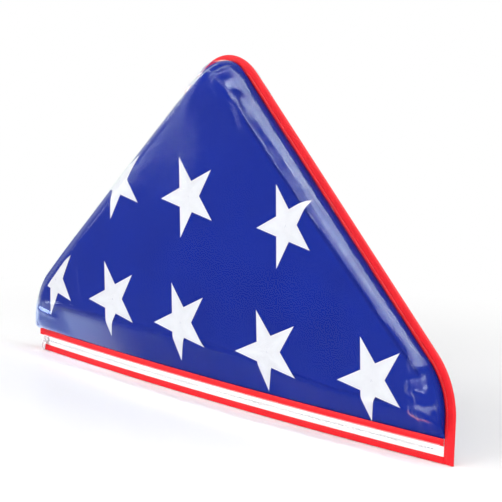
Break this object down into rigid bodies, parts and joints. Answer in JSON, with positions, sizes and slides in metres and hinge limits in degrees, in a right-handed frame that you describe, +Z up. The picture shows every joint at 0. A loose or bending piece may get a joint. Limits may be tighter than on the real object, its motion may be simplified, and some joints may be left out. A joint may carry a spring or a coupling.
{
  "type": "folded flag display case",
  "caption": "Soft clear-vinyl display case for a triangle-folded flag, edged with red binding tape and closed along its foot by a zipper with a hanging pull.",
  "frame": {"origin": "on the table, under the middle of the case", "axes": "+X along the foot to the right, -Y towards the viewer, +Z up towards the crown"},
  "size_m": [0.635, 0.06, 0.3514],
  "materials": {
    "clear_vinyl": "clear glossy film",
    "red_tape": "woven ribbon with a slight sheen",
    "white_tape": "woven zipper tape",
    "zipper_elements": "moulded nylon",
    "bright_metal": "nickel-plated die casting",
    "blue_cloth": "woven cotton",
    "white_thread": "embroidered thread"
  },
  "bodies": {
    "case": {"front_window": "clear_vinyl", "back_window": "clear_vinyl", "base_panel": "clear_vinyl", "edge_binding": "red_tape", "upper_hem_tape": "red_tape", "lower_hem_tape": "red_tape", "rear_hem_tape": "red_tape", "upper_zipper_tape": "white_tape", "lower_zipper_tape": "white_tape", "zipper_guard": "white_tape", "upper_element_row": "zipper_elements", "lower_element_row": "zipper_elements", "left_stop": "zipper_elements", "right_stop": "zipper_elements", "folded_flag": "blue_cloth", "front_stars": "white_thread", "back_stars": "white_thread"},
    "slider": {"slider_body": "bright_metal", "slider_bridge": "bright_metal"},
    "pull": {"pull_tab": "bright_metal"}
  },
  "joints": [
    {"name": "slider_travel", "type": "hinge", "parent": "case", "child": "slider", "pos_m": [0, 4.24968, 0.0116], "axis": [0, 0, 1], "range_deg": [0, 7.99]},
    {"name": "pull_swing", "type": "hinge", "parent": "slider", "child": "pull", "pos_m": [-0.29735, -0.00663, 0.0126], "axis": [-0.9976, 0.0697, 0], "range_deg": [-10, 150]}
  ]
}
